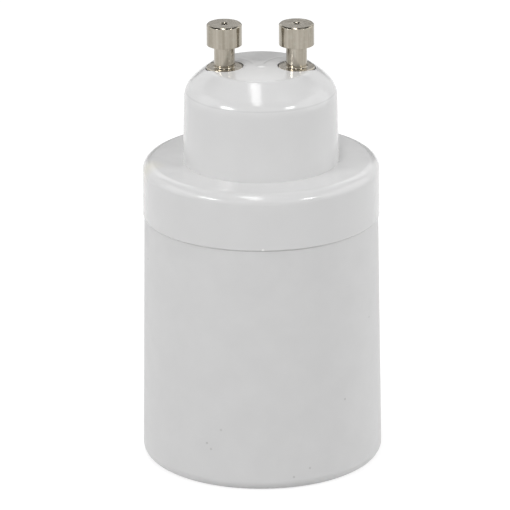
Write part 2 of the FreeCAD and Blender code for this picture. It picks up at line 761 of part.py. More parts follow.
def build_lead(label, tag_x, tag_y, pin_x):
    """A conductor from its tag to the end of its pin, with sleeving between the two.

    Both bends end short of the tag's lug and the pin's tail, where the lead runs straight.
    """
    wire_x = tag_x + size("tag_wire_x")
    gap = size("sleeving_gap")
    rise = size("lead_rise")

    def route(bottom, top):
        corners = [
            VECTOR(wire_x, tag_y, bottom),
            VECTOR(wire_x, tag_y, size("tag_lug_z") + rise),
            VECTOR(pin_x, 0, size("pin_tail_z") - rise),
            VECTOR(pin_x, 0, top),
        ]
        return bent_path(corners, rise - 2 * gap)

    whole = route(size("solder_z"), size("tip_wire_z"))
    covered = route(size("tag_lug_z") + gap, size("pin_tail_z") - gap)
    return [
        swept(label + "_conductor", whole, size("wire_radius")),
        swept(label + "_sleeving", covered, size("sleeving_radius"), size("wire_hole")),
    ]


def build_all():
    fill_sheet()
    right = ("Sizes.pin_offset", "0")
    left = ("-Sizes.pin_offset", "0")
    contact_place = ("0", "Sizes.contact_rivet_reach")
    shell_right = ("Sizes.shell_rivet_reach", "0")
    shell_left = ("-Sizes.shell_rivet_reach", "0")
    contact_heights = ("contact_rivet_low_z", "foot_under_z", "tag_top_z", "tagged_rivet_high_z")
    tagged_heights = ("shell_rivet_low_z", "shell_under_z", "tag_top_z", "tagged_rivet_high_z")
    bare_heights = ("shell_rivet_low_z", "shell_under_z", "floor_top_z", "bare_rivet_high_z")
    pieces = [
        build_plug_cap(),
        build_socket_sleeve(),
        build_screw_shell(),
        build_centre_contact(),
        build_rivet("centre_contact_rivet", *contact_heights, contact_place),
        build_rivet("left_shell_rivet", *tagged_heights, shell_left),
        build_rivet("right_shell_rivet", *bare_heights, shell_right),
        build_solder_tag("live_solder_tag", contact_place),
        build_solder_tag("neutral_solder_tag", shell_left),
    ]
    for side, offset in (("left", left), ("right", right)):
        pieces.append(build_pin(side, offset))
        pieces.append(build_pin_washer(side, offset))
        pieces.append(build_tip_solder(side, offset))
    live_bead = ("Sizes.tag_wire_x", "Sizes.contact_rivet_reach")
    neutral_bead = ("-Sizes.shell_rivet_reach + Sizes.tag_wire_x", "0")
    pieces.append(build_tag_solder("live_tag_solder", live_bead))
    pieces.append(build_tag_solder("neutral_tag_solder", neutral_bead))
    reach = size("contact_rivet_reach")
    pieces += build_lead("live", 0, reach, size("pin_offset"))
    pieces += build_lead("neutral", -size("shell_rivet_reach"), 0, -size("pin_offset"))
    return pieces


def check_and_export(pieces):
    """Stop if anything in the document failed; otherwise write each piece's file."""
    doc.recompute()
    for item in doc.Objects:
        if "Invalid" in item.State or "Error" in item.State:
            raise RuntimeError("%s failed: %s" % (item.Name, item.State))
    for piece in pieces:
        shape = piece.Shape
        if shape.isNull() or not shape.isValid() or len(shape.Solids) != 1:
            raise RuntimeError("%s is not one valid solid" % piece.Label)
    os.makedirs("parts", exist_ok=True)
    for piece in pieces:
        piece.Shape.exportStep("parts/%s.step" % piece.Label)
        print("%s %.1f mm3" % (piece.Label, piece.Shape.Volume))


check_and_export(build_all())
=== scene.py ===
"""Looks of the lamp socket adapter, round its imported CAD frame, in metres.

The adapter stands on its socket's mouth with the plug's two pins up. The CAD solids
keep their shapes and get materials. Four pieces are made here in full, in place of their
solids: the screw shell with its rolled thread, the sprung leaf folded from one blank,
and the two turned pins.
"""

import json
import math

import bmesh
import bpy
from mathutils import Matrix, Quaternion, Vector
from mathutils.geometry import delaunay_2d_cdt


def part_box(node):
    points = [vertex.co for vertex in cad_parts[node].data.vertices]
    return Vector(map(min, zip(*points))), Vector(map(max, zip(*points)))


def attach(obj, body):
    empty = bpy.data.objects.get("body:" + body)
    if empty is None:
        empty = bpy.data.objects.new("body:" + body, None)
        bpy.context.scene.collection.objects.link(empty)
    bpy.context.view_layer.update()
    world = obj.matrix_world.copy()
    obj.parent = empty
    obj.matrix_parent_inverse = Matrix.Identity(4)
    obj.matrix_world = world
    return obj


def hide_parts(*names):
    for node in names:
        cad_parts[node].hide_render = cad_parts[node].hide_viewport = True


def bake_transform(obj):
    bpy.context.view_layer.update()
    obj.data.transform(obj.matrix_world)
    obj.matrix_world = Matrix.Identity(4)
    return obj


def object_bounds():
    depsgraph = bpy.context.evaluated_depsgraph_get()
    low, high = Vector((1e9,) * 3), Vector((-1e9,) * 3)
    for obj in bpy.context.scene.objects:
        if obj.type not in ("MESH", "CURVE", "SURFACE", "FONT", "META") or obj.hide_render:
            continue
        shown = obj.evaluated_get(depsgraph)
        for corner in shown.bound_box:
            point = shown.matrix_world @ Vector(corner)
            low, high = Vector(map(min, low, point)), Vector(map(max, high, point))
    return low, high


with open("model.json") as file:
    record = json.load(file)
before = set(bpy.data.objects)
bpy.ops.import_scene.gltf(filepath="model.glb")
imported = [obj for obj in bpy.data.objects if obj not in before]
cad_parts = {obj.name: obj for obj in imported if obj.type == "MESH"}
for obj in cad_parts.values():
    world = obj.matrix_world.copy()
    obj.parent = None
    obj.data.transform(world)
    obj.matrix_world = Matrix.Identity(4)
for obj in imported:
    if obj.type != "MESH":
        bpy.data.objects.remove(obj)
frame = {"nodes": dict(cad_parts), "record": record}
cad_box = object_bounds()

MM = 0.001
SCENE = bpy.context.scene
NODES = frame["nodes"]

# Camera, fitted to the photograph's outlines of pins, dome, seam and mouth; its turns in
# radians, its clipping distances in metres, and its focal length as a share of the sensor
CAMERA_PLACE = Vector((0.0, -708.63, 280.66)) * MM
CAMERA_YAW = -0.0013
CAMERA_PITCH = 0.3412
CAMERA_ROLL = -0.0058
CAMERA_CLIP = (0.05, 20.0)
SENSOR = 36.0
FOCAL_SHARE = 10.495

# Floor, in metres, and background. Rays that light the adapter meet FLOOR_COLOUR and
# WORLD_FILL; rays that are seen meet FLOOR_SEEN with the glow FLOOR_LIFT, and pure white
FLOOR_SIDE = 6.0
FLOOR_GAP = 0.00002
FLOOR_COLOUR = 0.62
FLOOR_LIFT = 0.80
FLOOR_SEEN = 0.32
WORLD_FILL = 0.363

# Softboxes: name, azimuth, elevation and turn in degrees, distance, width, height, watts
SOFTBOXES = (
    ("high_front", -18, 74, 20, 0.80, 0.13, 0.72, 2.25),
    ("left", -54, 25, 0, 0.80, 0.26, 0.09, 2.0),
    ("right", 48, 29, 0, 0.80, 0.13, 0.07, 1.3),
    ("left_side", -95, 18, 0, 0.80, 0.40, 0.60, 0.6),
    ("right_side", 95, 17, 0, 0.80, 0.90, 0.80, 2.3),
    ("back_high", 180, 50, 0, 0.80, 0.90, 0.60, 1.25),
    ("back_low", 180, 24, 0, 0.80, 0.80, 0.13, 0.08),
    ("right_high", 60, 60, 0, 0.80, 0.30, 0.30, 0.15),
)

# Dark cards, unseen by the camera: name, centre, size across and up, and turn about X
CARDS = (
    ("ceiling", (0, 0, 1.15), (2.8, 2.6), 0),
    ("low_back", (0, 0.45, 0.12), (0.34, 0.16), 90),
)
CARD_COLOUR = 0.08

# Screw shell, in millimetres: the Edison thread's pitch, the radius of its arcs, its
# length and how far it fades in and out; the sheet, its step in to the neck, the corner
# between neck and flange, the flange's hole and its rivets' distance from the axis
THREAD_PITCH = 3.629
THREAD_ARC = 1.025
THREAD_LENGTH = 15.6
THREAD_FADE = 1.6
SHELL_SHEET = 0.3
SHELL_STEP = 0.4
SHELL_CORNER = 0.5
SHELL_HOLE = 9.0
SHELL_RIVETS = 10.6
SHELL_COLUMNS = 120
SHELL_ROW = 0.18
CORNER_ROWS = 4

# Sprung leaf, in millimetres: its blank's corners as length along it, half width and
# rounding, with its rivet's place; the runs and turns (degrees) of its folding and the
# bends' radius
LEAF_SHEET = 0.4
LEAF_BLANK = ((0, 2.7, 0.9), (4.7, 2.7, 0.5), (4.7, 1.8, 0.5), (11.47, 1.8, 1.1))
LEAF_RIVET = 1.8
LEAF_RUNS = (3.71, 4.49, 2.18)
LEAF_TURNS = (32, -46, 0)
LEAF_BEND = 0.8
LEAF_GRID = 0.16

# Turned pins, in millimetres: radius, depth below the head's top and rounding of each
# corner, down the outside to the seat; the swaged tail, with heights above its end; then
# the bore's end and the wire's hole, again with depths below the head's top
PIN_OUTSIDE = (
    (2.28, 0.0, 0.06), (2.46, 0.18, 0.06), (2.46, 3.04, 0.06), (1.45, 3.04, 0.05),
    (1.45, 6.2, 0.10), (2.54, 6.2, 0.09), (2.54, 7.65, 0.05), (1.5, 7.65, 0.0),
)
PIN_TAIL = ((1.5, 0.8, 0.3), (2.15, 0.0, 0.2), (1.6, 0.0, 0.1), (0.95, 0.8, 0.3))
PIN_HOLE = ((0.95, 1.3, 0.1), (0.45, 0.8, 0.1), (0.45, 0.14, 0.05), (0.60, 0.0, 0.04))
PIN_COLUMNS = 96
PIN_STEP = 0.06
GUARD_PLACE = PIN_STEP / 2
GUARDED_LENGTH = 4 * PIN_STEP

# Shared by the pieces made here: the rivets' holes and the broken edges in millimetres,
# the angle from which an edge is sharp, and how near two points are one, in millimetres
# on a plate and in metres on a mesh; last, the kind of result that a plate asks of
# delaunay_2d_cdt, which is triangles inside its outlines
RIVET_HOLE = 1.05
HOLE_POINTS = 28
EDGE_BREAK = 0.05
SHARP_ANGLE = math.radians(35)
PLATE_NEAR = 1e-6
MESH_NEAR = 1e-6
TRIANGLES_INSIDE = 1

# Marks on the mouldings, in millimetres. Faint rings round the pins on the crown: centre
# along X, radius and depth. They start behind the pins and fade in towards the middle
# Each ring is a shallow groove in the bump and a darker line painted in its colour: painted shade
CROWN_RINGS = ((-5.0, 3.95, 0.008), (5.0, 4.6, 0.014))
RING_WIDTH = 0.28
RING_START = 0.6
RING_FADE = 2
# Painted shade: a darker line round the dome's lower edge, where a crisp crease would shade; height,
# half width and strength
DOME_CREASE_SHADE = (53.5, 0.16, 0.6)
PAINTED_SHADE_GREY = (0.60, 0.60, 0.60)
# Round marks: place, radius, soft edge and strength
AGED_END = ((-15.9, -2.8, 43.0), 0.4, 2.4, 0.8)
AGED_COLOUR = (0.72, 0.70, 0.62)
# A near-white spot on the seam's nick, where it catches the light: painted highlight
SEAM_NICK_GLINT = ((0.2, -16.54, 35.55), 0.10, 0.16, 1.0)
NICK_GLINT_COLOUR = (0.95, 0.95, 0.94)
# The gate mark is a small raised spot in the bump; its near-white colour is a painted highlight
GATE_MARK_AND_HIGHLIGHT = ((0.13, -0.4, 56.93), 0.25, 0.4, 1.0)
GATE_HIGHLIGHT_COLOUR = (0.95, 0.95, 0.95)
GATE_HEIGHT = 0.02
# Dark specks on the sleeve: place and strength
SPECKS = (
    (14.96, -7.10, 22.28, 0.35), (-5.77, -15.74, 8.84, 0.3), (-7.74, -14.90, 6.58, 0.45),
    (-7.19, -15.19, 5.79, 0.35), (6.59, -15.51, 2.99, 0.35), (4.35, -16.30, 1.97, 0.4),
    (11.53, -12.10, 11.95, 0.4), (-15.86, -4.31, 30.06, 0.5),
)
SPECK_RADIUS = 0.06
SPECK_EDGE = 0.16
SPECK_COLOUR = (0.25, 0.25, 0.24)

# Noise is given as size in millimetres, detail and, where it is drawn out, stretch, and
# waves as size, detail and depth. As noise goes through its range, colours and roughness
# go from their first value to their second
NOISE_RANGE = (0.3, 0.7)

# Plastics
PLASTIC_IOR = 1.5
CAP_CLOUDS = (6, 3.0)
CAP_WHITE = ((0.714, 0.713, 0.713), (0.734, 0.733, 0.733))
CAP_GLOSS = (1.2, 4.0)
CAP_ROUGHNESS = (0.13, 0.20)
CAP_WAVES = ((2.6, 2.0, 0.02), (0.35, 2.0, 0.0012))
SLEEVE_CLOUDS = (4, 4.0)
SLEEVE_WHITE = ((0.690, 0.689, 0.689), (0.715, 0.714, 0.714))
SLEEVE_GLOSS = (0.9, 4.0)
SLEEVE_ROUGHNESS = (0.36, 0.48)
SLEEVE_WAVES = ((3.0, 2.0, 0.02), (0.3, 3.0, 0.003))

# Nickel plate: streaks drawn out along the pin, partly uneven plating and partly painted
# reflection of bright and dark surroundings; stains over them, and turning marks round it
NICKEL_STREAKS_AND_REFLECTIONS = (0.7, 2.0, (1, 1, 25))
NICKEL_COLOURS = ((0.29, 0.262, 0.21), (0.47, 0.432, 0.372))
NICKEL_RANGE = (0.28, 0.72)
NICKEL_STAINS = (0.5, 3.0)
STAIN_STRENGTH = 0.5
STAIN_RANGE = (0.5, 0.75)
STAIN_COLOUR = (0.42, 0.41, 0.35)
TURNING_MARKS = (0.12, 2.0, (30, 30, 1))
NICKEL_ROUGHNESS = (0.12, 0.24)
METAL_GRAIN_DEPTH = 0.0008

# Metals inside, by slot: two colours, roughness and the size of the grain
METALS = {
    "shell_metal": ((0.60, 0.58, 0.54), (0.72, 0.70, 0.66), 0.26, 0.25),
    "spring_bronze": ((0.66, 0.45, 0.25), (0.80, 0.58, 0.34), 0.24, 0.25),
    "rivet_brass": ((0.66, 0.50, 0.24), (0.76, 0.60, 0.32), 0.28, 0.25),
    "tinned_brass": ((0.62, 0.60, 0.55), (0.72, 0.70, 0.64), 0.34, 0.25),
    "washer_steel": ((0.46, 0.46, 0.46), (0.56, 0.56, 0.55), 0.34, 0.25),
    # The solder's colours are darker than bare solder: painted shade for the pins' tip holes that hold
    # it
    "solder": ((0.16, 0.155, 0.14), (0.34, 0.33, 0.31), 0.40, 0.6),
    "copper": ((0.62, 0.33, 0.21), (0.74, 0.44, 0.30), 0.25, 0.25),
}
METAL_STAINS = (2.5, 4.0)
METAL_GRAIN_DETAIL = 3.0
SMOOTHER = 0.06
ROUGHER = 0.08

# Insulating sleeving of the leads
SLEEVING_BRAID = (0.25, 1.0, (1, 1, 2))
SLEEVING_COLOURS = ((0.72, 0.70, 0.62), (0.84, 0.82, 0.75))
SLEEVING_ROUGHNESS = 0.7
SLEEVING_DEPTH = 0.03

# Places of the colour sockets on Blender's Mix node, whose names aren't unique
MIX_UNDER, MIX_OVER, MIX_RESULT = 6, 7, 2


def grey(level):
    """A neutral grey as a node colour."""
    return (level, level, level, 1.0)


def new_tree(owner):
    """The empty node tree of a new material or world."""
    owner.use_nodes = True
    owner.node_tree.nodes.clear()
    return owner.node_tree


def put(name, data):
    """A new object, in the scene."""
    thing = bpy.data.objects.new(name, data)
    SCENE.collection.objects.link(thing)
    return thing


# Camera, lamps and floor


def add_camera():
    """The photograph's viewpoint: almost straight on, looking down at the dome."""
    sin_yaw, cos_yaw = math.sin(CAMERA_YAW), math.cos(CAMERA_YAW)
    sin_pitch, cos_pitch = math.sin(CAMERA_PITCH), math.cos(CAMERA_PITCH)
    ahead = Vector((sin_yaw * cos_pitch, cos_yaw * cos_pitch, -sin_pitch))
    level = Vector((cos_yaw, -sin_yaw, 0))
    upright = level.cross(ahead)
    across = level * math.cos(CAMERA_ROLL) + upright * math.sin(CAMERA_ROLL)
    up = upright * math.cos(CAMERA_ROLL) - level * math.sin(CAMERA_ROLL)
    turn = Matrix((across, up, -ahead)).transposed().to_4x4()
    data = bpy.data.cameras.new("camera")
    data.sensor_width = SENSOR
    data.lens = SENSOR * FOCAL_SHARE
    data.clip_start, data.clip_end = CAMERA_CLIP
    camera = put("camera", data)
    camera.matrix_world = Matrix.Translation(CAMERA_PLACE) @ turn
    SCENE.camera = camera


def add_softboxes():
    """Area lamps that look at the middle of the adapter."""
    middle = (cad_box[0] + cad_box[1]) / 2
    for name, azimuth, elevation, turn, distance, width, height, watts in SOFTBOXES:
        bearing, rise = math.radians(azimuth), math.radians(elevation)
        level = math.cos(rise)
        back = Vector((math.sin(bearing) * level, -math.cos(bearing) * level, math.sin(rise)))
        data = bpy.data.lights.new(name, "AREA")
        data.shape = "RECTANGLE"
        data.size = width
        data.size_y = height
        data.energy = watts
        lamp = put(name, data)
        lamp.rotation_mode = "QUATERNION"
        lamp.location = middle + back * distance
        roll = Quaternion((0, 0, 1), math.radians(turn))
        lamp.rotation_quaternion = back.to_track_quat("Z", "Y") @ roll


def seen_rays(tree):
    """A value that is 1 for rays from the camera, off metal and gloss, and through glass."""
    path = tree.nodes.new("ShaderNodeLightPath")
    total = path.outputs["Is Camera Ray"]
    for ray in ("Is Glossy Ray", "Is Transmission Ray"):
        most = tree.nodes.new("ShaderNodeMath")
        most.operation = "MAXIMUM"
        tree.links.new(total, most.inputs[0])
        tree.links.new(path.outputs[ray], most.inputs[1])
        total = most.outputs[0]
    return total


def set_world():
    """White where it is seen, and a plain fill where it lights."""
    world = bpy.data.worlds.new("studio")
    tree = new_tree(world)
    fill, white = tree.nodes.new("ShaderNodeBackground"), tree.nodes.new("ShaderNodeBackground")
    fill.inputs["Color"].default_value = grey(1.0)
    fill.inputs["Strength"].default_value = WORLD_FILL
    white.inputs["Color"].default_value = grey(1.0)
    white.inputs["Strength"].default_value = 1.0
    mix = tree.nodes.new("ShaderNodeMixShader")
    out = tree.nodes.new("ShaderNodeOutputWorld")
    tree.links.new(seen_rays(tree), mix.inputs[0])
    tree.links.new(fill.outputs[0], mix.inputs[1])
    tree.links.new(white.outputs[0], mix.inputs[2])
    tree.links.new(mix.outputs[0], out.inputs["Surface"])
    SCENE.world = world


def flat_mesh(name, across, up, height=0.0):
    """A level rectangle round the origin, in metres."""
    signs = ((-1, -1), (1, -1), (1, 1), (-1, 1))
    mesh = bpy.data.meshes.new(name)
    mesh.from_pydata([(x * across / 2, y * up / 2, height) for x, y in signs], [], [(0, 1, 2, 3)])
    return mesh


def add_floor():
    """A plain pale floor, white to the camera, with the shadow; clear when seen from below."""
    floor = put("floor", flat_mesh("floor", FLOOR_SIDE, FLOOR_SIDE, -FLOOR_GAP))
    material = bpy.data.materials.new("floor")
    tree = new_tree(material)
    plain, seen = tree.nodes.new("ShaderNodeBsdfDiffuse"), tree.nodes.new("ShaderNodeBsdfDiffuse")
    lift, added = tree.nodes.new("ShaderNodeEmission"), tree.nodes.new("ShaderNodeAddShader")
    plain.inputs["Color"].default_value = grey(FLOOR_COLOUR)
    seen.inputs["Color"].default_value = grey(FLOOR_SEEN)
    lift.inputs["Color"].default_value = grey(1.0)
    lift.inputs["Strength"].default_value = FLOOR_LIFT
    mix, under = tree.nodes.new("ShaderNodeMixShader"), tree.nodes.new("ShaderNodeMixShader")
    side = tree.nodes.new("ShaderNodeNewGeometry")
    clear = tree.nodes.new("ShaderNodeBsdfTransparent")
    out = tree.nodes.new("ShaderNodeOutputMaterial")
    tree.links.new(seen.outputs[0], added.inputs[0])
    tree.links.new(lift.outputs[0], added.inputs[1])
    tree.links.new(seen_rays(tree), mix.inputs[0])
    tree.links.new(plain.outputs[0], mix.inputs[1])
    tree.links.new(added.outputs[0], mix.inputs[2])
    tree.links.new(side.outputs["Backfacing"], under.inputs[0])
    tree.links.new(mix.outputs[0], under.inputs[1])
    tree.links.new(clear.outputs[0], under.inputs[2])
    tree.links.new(under.outputs[0], out.inputs["Surface"])
    floor.data.materials.append(material)


def add_cards():
    """Dark cards that give the metal and the glossy plastic something dark to mirror."""
    material = bpy.data.materials.new("card")
    tree = new_tree(material)
    dark, out = tree.nodes.new("ShaderNodeBsdfDiffuse"), tree.nodes.new("ShaderNodeOutputMaterial")
    dark.inputs["Color"].default_value = grey(CARD_COLOUR)
    tree.links.new(dark.outputs[0], out.inputs["Surface"])
    for name, centre, (across, up), turn in CARDS:
        card = put(name, flat_mesh(name, across, up))
        card.data.materials.append(material)
        card.location = centre
        card.rotation_euler = (math.radians(turn), 0, 0)
        card.visible_camera = False


# Pieces made here, worked out in millimetres


def ring(centre, radius, count):
    """Points round a circle in the plane."""
    turns = [2 * math.pi * i / count for i in range(count)]
    return [(centre[0] + radius * math.cos(turn), centre[1] + radius * math.sin(turn)) for turn in turns]


def soft_corners(corners, step):
    """A closed outline's points: an arc at each (across, up, radius) corner, or the corner."""
    spots = []
    for i, (across, up, radius) in enumerate(corners):
        here = Vector((across, up))
        back = (Vector(corners[i - 1][:2]) - here).normalized()
        ahead = (Vector(corners[(i + 1) % len(corners)][:2]) - here).normalized()
        if not radius:
            spots.append(here)
            continue
        half = back.angle(ahead) / 2
        trim = radius / math.tan(half)
        centre = here + (back + ahead).normalized() * radius / math.sin(half)
        first, last = (here + way * trim - centre for way in (back, ahead))
        pieces = max(2, round(radius * (math.pi - 2 * half) / step))
        for k in range(pieces + 1):
            spots.append(centre + first.slerp(last, k / pieces).normalized() * radius)
    return spots


def rounded(corners, step):
    """A closed outline with soft corners and points about step apart."""
    spots = soft_corners(corners, step)
    closed = spots + spots[:1]
    outline = []
    for near, far in zip(closed, closed[1:]):
        pieces = max(1, round((far - near).length / step))
        outline += [near.lerp(far, k / pieces) for k in range(pieces)]
    return outline


def plate(outlines, holes, inner=()):
    """Triangles of a flat plate: within its first outline, outside the others and its holes."""
    loops = list(outlines) + [ring(centre, radius, HOLE_POINTS) for centre, radius in holes]
    points, edges = [], []
    for loop in loops:
        first, count = len(points), len(loop)
        points += [Vector(p) for p in loop]
        edges += [(first + i, first + (i + 1) % count) for i in range(count)]
    points += [Vector(p) for p in inner]
    corners, _, faces, *_ = delaunay_2d_cdt(points, edges, [], TRIANGLES_INSIDE, PLATE_NEAR)
    kept = []
    for face in faces:
        middle = sum((corners[i] for i in face), Vector((0, 0))) / len(face)
        if all((middle - Vector(centre)).length > radius for centre, radius in holes):
            kept.append(face)
    return corners, kept


def outward_mesh(name, corners, faces, weld=False):
    """A mesh from millimetres, its faces turned outwards and, to weld it, its corners merged."""
    mesh = bpy.data.meshes.new(name)
    mesh.from_pydata([Vector(c) * MM for c in corners], [], faces)
    shaped = bmesh.new()
    shaped.from_mesh(mesh)
    if weld:
        bmesh.ops.remove_doubles(shaped, verts=shaped.verts, dist=MESH_NEAR)
    bmesh.ops.recalc_face_normals(shaped, faces=shaped.faces)
    shaped.to_mesh(mesh)
    shaped.free()
    return mesh


def sheet_piece(name, corners, faces, sheet, offset, node, body=None):
    """Thicken a folded sheet, break its edges and let it stand for a CAD node."""
    piece = put(name, outward_mesh(name, corners, faces, weld=True))
    thicken = piece.modifiers.new("sheet", "SOLIDIFY")
    thicken.thickness = sheet * MM
    thicken.offset = offset
    thicken.use_even_offset = True
    bevel = piece.modifiers.new("edges", "BEVEL")
    bevel.width = EDGE_BREAK * MM
    bevel.segments = 2
    bevel.limit_method = "ANGLE"
    bevel.angle_limit = SHARP_ANGLE
    graph = bpy.context.evaluated_depsgraph_get()
    piece.data = bpy.data.meshes.new_from_object(piece.evaluated_get(graph))
    piece.modifiers.clear()
    piece.data.shade_smooth()
    piece.data.set_sharp_from_angle(angle=SHARP_ANGLE)
    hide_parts(node)
    if body:
        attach(piece, body)
    return piece


def thread_rise(distance):
    """How far the rolled ridge stands inwards, at an upright distance from its crest."""
    depth = 2 * THREAD_ARC - math.sqrt(4 * THREAD_ARC**2 - (THREAD_PITCH / 2) ** 2)
    if distance < THREAD_PITCH / 4:
        return depth - THREAD_ARC + math.sqrt(THREAD_ARC**2 - distance**2)
    return THREAD_ARC - math.sqrt(THREAD_ARC**2 - (THREAD_PITCH / 2 - distance) ** 2)


def add_screw_shell():
    """The shell's sheet from its mouth to its flange: its inner surface, thickened outwards."""
    low, high = (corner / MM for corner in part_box("screw_shell"))
    root = high.x - SHELL_SHEET
    neck = root - SHELL_STEP
    flange = high.z - SHELL_SHEET
    thread_end = low.z + THREAD_LENGTH
    count = round(THREAD_LENGTH / SHELL_ROW)
    rows = [(root, low.z + THREAD_LENGTH * i / count) for i in range(count + 1)]
    rows += [(neck, thread_end + SHELL_STEP), (neck, flange - SHELL_CORNER)]
    for i in range(1, CORNER_ROWS + 1):
        lean = math.pi / 2 * i / CORNER_ROWS
        inset = SHELL_CORNER * (1 - math.cos(lean))
        rows.append((neck - inset, flange - SHELL_CORNER * (1 - math.sin(lean))))
    corners, faces = [], []
    for radius, height in rows:
        edge = min(height - low.z, thread_end - height) / THREAD_FADE
        share = min(max(edge, 0.0), 1.0)
        share = share * share * (3 - 2 * share)
        for column in range(SHELL_COLUMNS):
            turn = 2 * math.pi * column / SHELL_COLUMNS
            climb = (height / THREAD_PITCH - turn / (2 * math.pi)) % 1.0
            reach = radius - thread_rise(min(climb, 1.0 - climb) * THREAD_PITCH) * share
            corners.append((reach * math.cos(turn), reach * math.sin(turn), height))
    for row in range(len(rows) - 1):
        for column in range(SHELL_COLUMNS):
            after = (column + 1) % SHELL_COLUMNS
            base = row * SHELL_COLUMNS
            top = base + SHELL_COLUMNS
            faces.append((base + column, base + after, top + after, top + column))
    rivets = [((side * SHELL_RIVETS, 0), RIVET_HOLE) for side in (-1, 1)]
    outer = ring((0, 0), rows[-1][0], SHELL_COLUMNS)
    inner = ring((0, 0), SHELL_HOLE, SHELL_COLUMNS)
    flat, triangles = plate([outer, inner], rivets + [((0, 0), SHELL_HOLE)])
    first = len(corners)
    corners += [(spot.x, spot.y, flange) for spot in flat]
    faces += [tuple(first + i for i in face) for face in triangles]
    return sheet_piece(
        "threaded_shell", corners, faces, SHELL_SHEET, 1.0, "screw_shell", "housing"
    )


def fold(run):
    """Place along -Y and height of the leaf's middle, run mm along it, from its foot's end."""
    along = height = heading = 0.0
    for length, turn in zip(LEAF_RUNS, LEAF_TURNS):
        bend = math.radians(turn)
        for stretch, angle in ((length, 0.0), (LEAF_BEND * abs(bend), bend)):
            part = min(run, stretch)
            if part <= 0:
                continue
            half = angle * part / stretch / 2
            chord = part * math.sin(half) / half if half else part
            along += chord * math.cos(heading + half)
            height -= chord * math.sin(heading + half)
            heading += 2 * half
            run -= part
    return along, height


def add_leaf():
    """The centre contact: one blank with rounded corners, folded down and up again."""
    _, high = (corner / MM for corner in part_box("centre_contact"))
    mirrored = [(run, -side, radius) for run, side, radius in reversed(LEAF_BLANK)]
    outline = rounded(list(LEAF_BLANK) + mirrored, LEAF_GRID)
    hole = ((LEAF_RIVET, 0.0), RIVET_HOLE)
    inner = []
    span, width, corner = LEAF_BLANK[-1]
    for i in range(1, int(span / LEAF_GRID)):
        for j in range(-int(width / LEAF_GRID) + 1, int(width / LEAF_GRID)):
            spot = Vector((i * LEAF_GRID, j * LEAF_GRID))
            clear = span - corner > spot.x or abs(spot.y) < width / 2
            if clear and (spot - Vector(hole[0])).length > RIVET_HOLE + LEAF_GRID:
                inner.append(spot)
    flat, faces = plate([outline], [hole], inner)
    corners = []
    for spot in flat:
        along, height = fold(max(spot.x, 0.0))
        corners.append((spot.y, high.y - along, high.z - LEAF_SHEET / 2 + height))
    piece = sheet_piece("sprung_leaf", corners, faces, LEAF_SHEET, 0.0, "centre_contact")
    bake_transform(piece)
    return piece


def pin_profile(low, high):
    """A pin's closed outline of (radius, height), with guard points that keep long faces flat."""
    stations = [(radius, high.z - depth, rounding) for radius, depth, rounding in PIN_OUTSIDE]
    stations += [(radius, low.z + rise, rounding) for radius, rise, rounding in PIN_TAIL]
    stations += [(radius, high.z - depth, rounding) for radius, depth, rounding in PIN_HOLE]
    turned = soft_corners(stations, PIN_STEP)
    profile = []
    for near, far in zip(turned, turned[1:] + turned[:1]):
        profile.append(near)
        if (far - near).length > GUARDED_LENGTH:
            guard = (far - near).normalized() * GUARD_PLACE
            profile += [near + guard, far - guard]
    return profile


def add_pin(side):
    """One hollow pin, turned from its countersunk hole round to its bore and back."""
    node = side + "_pin"
    low, high = (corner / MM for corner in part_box(node))
    centre = (low + high) / 2
    profile = pin_profile(low, high)
    corners, faces = [], []
    count = len(profile)
    for column in range(PIN_COLUMNS):
        turn = 2 * math.pi * column / PIN_COLUMNS
        east, north = math.cos(turn), math.sin(turn)
        for radius, height in profile:
            corners.append((centre.x + radius * east, centre.y + radius * north, height))
    for column in range(PIN_COLUMNS):
        here, there = column * count, (column + 1) % PIN_COLUMNS * count
        for i in range(count):
            after = (i + 1) % count
            faces.append((here + i, there + i, there + after, here + after))
    mesh = outward_mesh(node, corners, faces)
    mesh.shade_smooth()
    mesh.set_sharp_from_angle(angle=SHARP_ANGLE)
    piece = put("turned_" + node, mesh)
    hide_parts(node)
    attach(piece, "housing")
    return piece


# Materials


